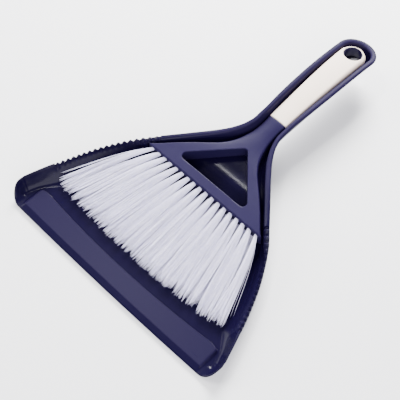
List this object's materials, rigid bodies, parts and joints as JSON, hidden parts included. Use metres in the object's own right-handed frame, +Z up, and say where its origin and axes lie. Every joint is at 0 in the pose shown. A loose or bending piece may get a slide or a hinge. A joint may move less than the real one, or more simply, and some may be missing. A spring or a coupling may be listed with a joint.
{
  "type": "dust pan and brush set",
  "caption": "Fan-shaped dust pan with a channelled handle and comb-toothed rim, and a hand brush with a windowed head, splayed white tufts and a soft pale grip that nests in it.",
  "frame": {"origin": "middle of the underside of the whole set's box at rest, on the surface that it stands on", "axes": "+Y from the pan's lip towards the handles, +Z up, +X to the right of someone who looks along +Y"},
  "size_m": [0.2576, 0.3456, 0.0415],
  "materials": {
    "pan_plastic": "glossy dark navy moulding",
    "brush_plastic": "satin navy moulding",
    "soft_grip": "soft matt cream overmoulding",
    "nylon": "translucent white filament",
    "steel": "bright flat wire"
  },
  "bodies": {
    "pan": {"dustpan": "pan_plastic"},
    "brush": {"brush_body": "brush_plastic", "grip": "soft_grip", "tuft_top_01": "nylon", "tuft_top_02": "nylon", "tuft_top_03": "nylon", "tuft_top_04": "nylon", "tuft_top_05": "nylon", "tuft_top_06": "nylon", "tuft_top_07": "nylon", "tuft_top_08": "nylon", "tuft_top_09": "nylon", "tuft_top_10": "nylon", "tuft_top_11": "nylon", "tuft_top_12": "nylon", "tuft_top_13": "nylon", "tuft_top_14": "nylon", "tuft_top_15": "nylon", "tuft_top_16": "nylon", "tuft_top_17": "nylon", "tuft_top_18": "nylon", "tuft_low_01": "nylon", "tuft_low_02": "nylon", "tuft_low_03": "nylon", "tuft_low_04": "nylon", "tuft_low_05": "nylon", "tuft_low_06": "nylon", "tuft_low_07": "nylon", "tuft_low_08": "nylon", "tuft_low_09": "nylon", "tuft_low_10": "nylon", "tuft_low_11": "nylon", "tuft_low_12": "nylon", "tuft_low_13": "nylon", "tuft_low_14": "nylon", "tuft_low_15": "nylon", "tuft_low_16": "nylon", "tuft_low_17": "nylon", "staple_01": "steel", "staple_02": "steel", "staple_03": "steel", "staple_04": "steel", "staple_05": "steel", "staple_06": "steel", "staple_07": "steel", "staple_08": "steel", "staple_09": "steel", "staple_10": "steel", "staple_11": "steel", "staple_12": "steel", "staple_13": "steel", "staple_14": "steel", "staple_15": "steel", "staple_16": "steel", "staple_17": "steel", "staple_18": "steel"}
  },
  "joints": [
    {"name": "brush_lift", "type": "slide", "parent": "pan", "child": "brush", "axis": [0, 0, 1], "range_m": [0, 0.12]}
  ]
}
